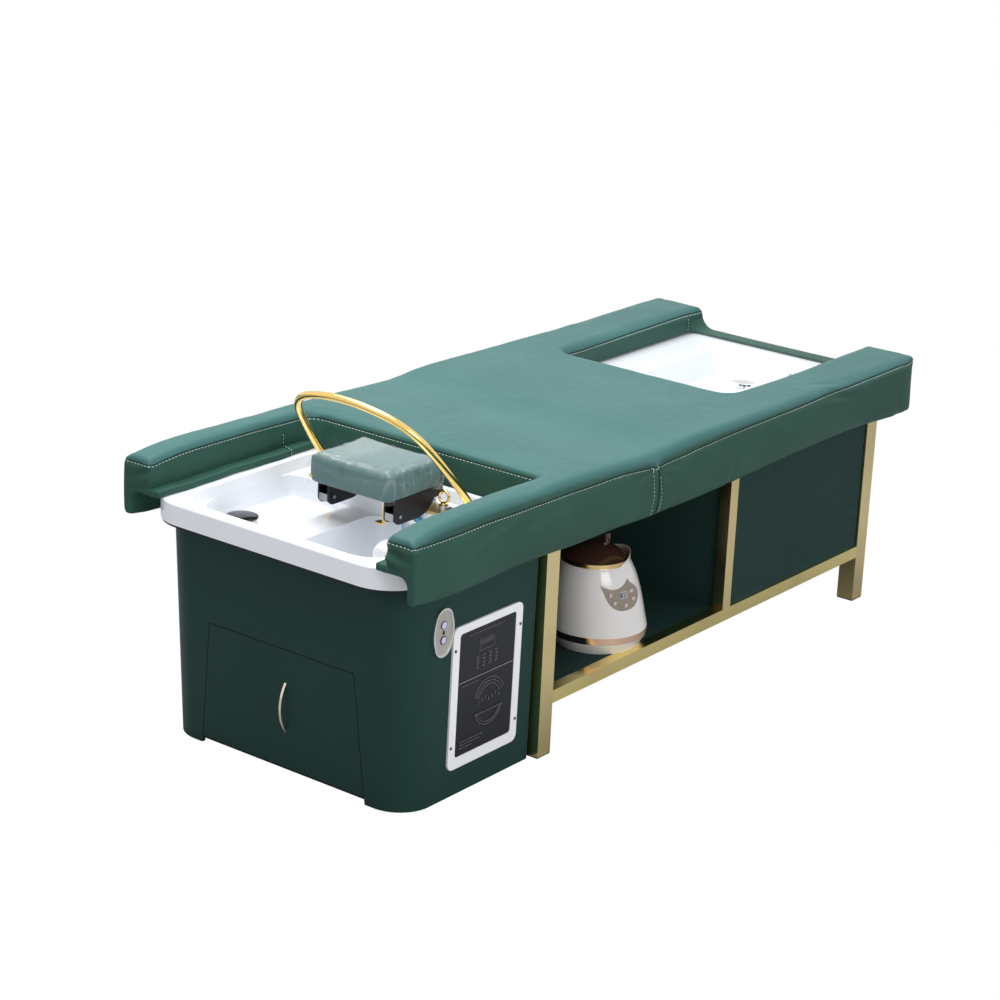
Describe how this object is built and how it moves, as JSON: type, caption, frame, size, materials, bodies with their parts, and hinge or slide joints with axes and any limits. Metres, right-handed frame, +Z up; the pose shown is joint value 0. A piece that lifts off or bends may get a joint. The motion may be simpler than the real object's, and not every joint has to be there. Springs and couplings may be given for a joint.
{
  "type": "hair washing bed",
  "caption": "Padded full-length salon bed on a gold frame, with a head basin, circulating spray arch, tilting neck rest, foot basin and a herb steamer on its shelf.",
  "frame": {"origin": "middle of the bed's footprint, on the floor", "axes": "+X from the head basin towards the foot end, +Y towards the side with the water connections, +Z up"},
  "size_m": [2.1, 0.848, 0.8514],
  "materials": {
    "green_leather": "matte grained synthetic leather",
    "gold_metal": "polished gold plating",
    "gold_satin": "satin gold plating",
    "black_plastic": "matte",
    "green_board": "dark green lacquered board",
    "green_casing": "smooth dark green moulding",
    "black_rubber": "matte",
    "champagne_metal": "satin champagne",
    "white_acrylic": "glossy white",
    "chrome": "mirror",
    "steel": "brushed",
    "grey_plastic": "matte",
    "blue_rubber": "satin blue",
    "white_plastic": "matte",
    "hose_rubber": "matte",
    "silver_metal": "satin",
    "black_metal": "semi-gloss black",
    "pillow_skin": "padded skin in clear film",
    "pale_panel": "satin white",
    "black_gloss": "glossy",
    "switch_light": "lit bluish violet",
    "steamer_white": "glossy white",
    "rose_gold": "polished rose gold",
    "taupe": "satin",
    "key_cap": "satin",
    "smoked": "smoked brown"
  },
  "bodies": {
    "bed": {"mattress": "green_leather", "legs": "gold_metal", "leg_glides": "black_plastic", "frame_rails": "gold_metal", "mid_posts": "gold_metal", "shelf_board": "green_board", "divider_panel": "green_board", "front_panel": "green_board", "carcass_panels": "green_board", "deck_board": "green_board", "basin_casing": "green_casing", "casing_base": "black_plastic", "door_hinge_leaves": "steel", "head_basin": "white_acrylic", "rim_gasket": "black_rubber", "waste_fittings": "chrome", "drain_trap": "grey_plastic", "strainer_seal": "blue_rubber", "strainer_grille": "chrome", "inlet_fittings": "steel", "circulation_pump": "black_metal", "water_tank": "white_plastic", "plumbing_hoses": "hose_rubber", "bridge_bar": "gold_satin", "bridge_screws": "steel", "neck_pivots": "silver_metal", "arch_sockets": "gold_satin", "valve_body": "steel", "shower_holder": "white_plastic", "instruction_frame": "pale_panel", "instruction_plate": "black_gloss", "panel_screws": "steel", "switch_bezel": "chrome", "switch_plate": "steel", "foot_basin": "white_acrylic"},
    "door": {"access_door": "green_casing", "door_handle": "champagne_metal", "door_hinge_knuckles": "steel"},
    "neck_rest": {"neck_brackets": "black_metal", "tilt_stop": "gold_metal", "pillow_board": "black_plastic", "neck_pillow": "pillow_skin"},
    "arch": {"spray_arch": "gold_metal"},
    "valve": {"valve_handle": "gold_metal"},
    "head_plug": {"waste_cap": "chrome"},
    "foot_plug": {"foot_waste_cap": "chrome"},
    "shower": {"hand_shower": "chrome"},
    "upper_switch": {"switch_button_upper": "switch_light"},
    "lower_switch": {"switch_button_lower": "switch_light"},
    "steamer": {"steamer_base": "steamer_white", "steamer_trim": "rose_gold", "steamer_body": "steamer_white", "steamer_panel": "taupe"},
    "lid": {"steamer_lid": "smoked"},
    "tap": {"foot_tap": "chrome"},
    "key_1": {"steamer_button_1": "key_cap"},
    "key_2": {"steamer_button_2": "key_cap"},
    "key_3": {"steamer_button_3": "key_cap"},
    "key_4": {"steamer_button_4": "key_cap"},
    "key_5": {"steamer_button_5": "key_cap"}
  },
  "joints": [
    {"name": "door_hinge", "type": "hinge", "parent": "bed", "child": "door", "pos_m": [-0.96895, 0, 0.02327], "axis": [0, -1, 0], "range_deg": [0, 80]},
    {"name": "neck_tilt", "type": "hinge", "parent": "bed", "child": "neck_rest", "pos_m": [-0.724, 0, 0.577], "axis": [0, -1, 0], "range_deg": [0, 30]},
    {"name": "arch_swing", "type": "hinge", "parent": "bed", "child": "arch", "pos_m": [-0.58, 0, 0.582], "axis": [0, 1, 0], "range_deg": [-32, 40]},
    {"name": "valve_turn", "type": "hinge", "parent": "bed", "child": "valve", "pos_m": [-0.6, -0.14, 0.582], "axis": [0, 0, 1], "range_deg": [0, 90]},
    {"name": "head_plug_drop", "type": "slide", "parent": "bed", "child": "head_plug", "axis": [0, 0, 1], "range_m": [-0.012, 0]},
    {"name": "foot_plug_drop", "type": "slide", "parent": "bed", "child": "foot_plug", "axis": [0, 0, 1], "range_m": [-0.012, 0]},
    {"name": "shower_lift", "type": "slide", "parent": "bed", "child": "shower", "axis": [0, 0, 1], "range_m": [0, 0.15]},
    {"name": "steamer_pull_out", "type": "slide", "parent": "bed", "child": "steamer", "axis": [0, -1, 0], "range_m": [0, 0.3]},
    {"name": "lid_lift", "type": "slide", "parent": "steamer", "child": "lid", "axis": [0, 0, 1], "range_m": [0, 0.06]},
    {"name": "foot_tap_turn", "type": "hinge", "parent": "bed", "child": "tap", "pos_m": [0.829, -0.162, 0.597], "axis": [0, 0, 1], "range_deg": [0, 90]},
    {"name": "upper_switch_press", "type": "slide", "parent": "bed", "child": "upper_switch", "axis": [0, 0.9999, 0.0137], "range_m": [0, 0.0015], "stiffness_N_per_m": 400},
    {"name": "lower_switch_press", "type": "slide", "parent": "bed", "child": "lower_switch", "axis": [0, 0.9999, 0.0137], "range_m": [0, 0.0015], "stiffness_N_per_m": 400},
    {"name": "key_1_press", "type": "slide", "parent": "steamer", "child": "key_1", "axis": [0.2756, 0.9613, 0], "range_m": [0, 0.0012], "stiffness_N_per_m": 400},
    {"name": "key_2_press", "type": "slide", "parent": "steamer", "child": "key_2", "axis": [0.2756, 0.9613, 0], "range_m": [0, 0.0012], "stiffness_N_per_m": 400},
    {"name": "key_3_press", "type": "slide", "parent": "steamer", "child": "key_3", "axis": [0.2756, 0.9613, 0], "range_m": [0, 0.0012], "stiffness_N_per_m": 400},
    {"name": "key_4_press", "type": "slide", "parent": "steamer", "child": "key_4", "axis": [0.2756, 0.9613, 0], "range_m": [0, 0.0012], "stiffness_N_per_m": 400},
    {"name": "key_5_press", "type": "slide", "parent": "steamer", "child": "key_5", "axis": [0.2756, 0.9613, 0], "range_m": [0, 0.0012], "stiffness_N_per_m": 400}
  ]
}
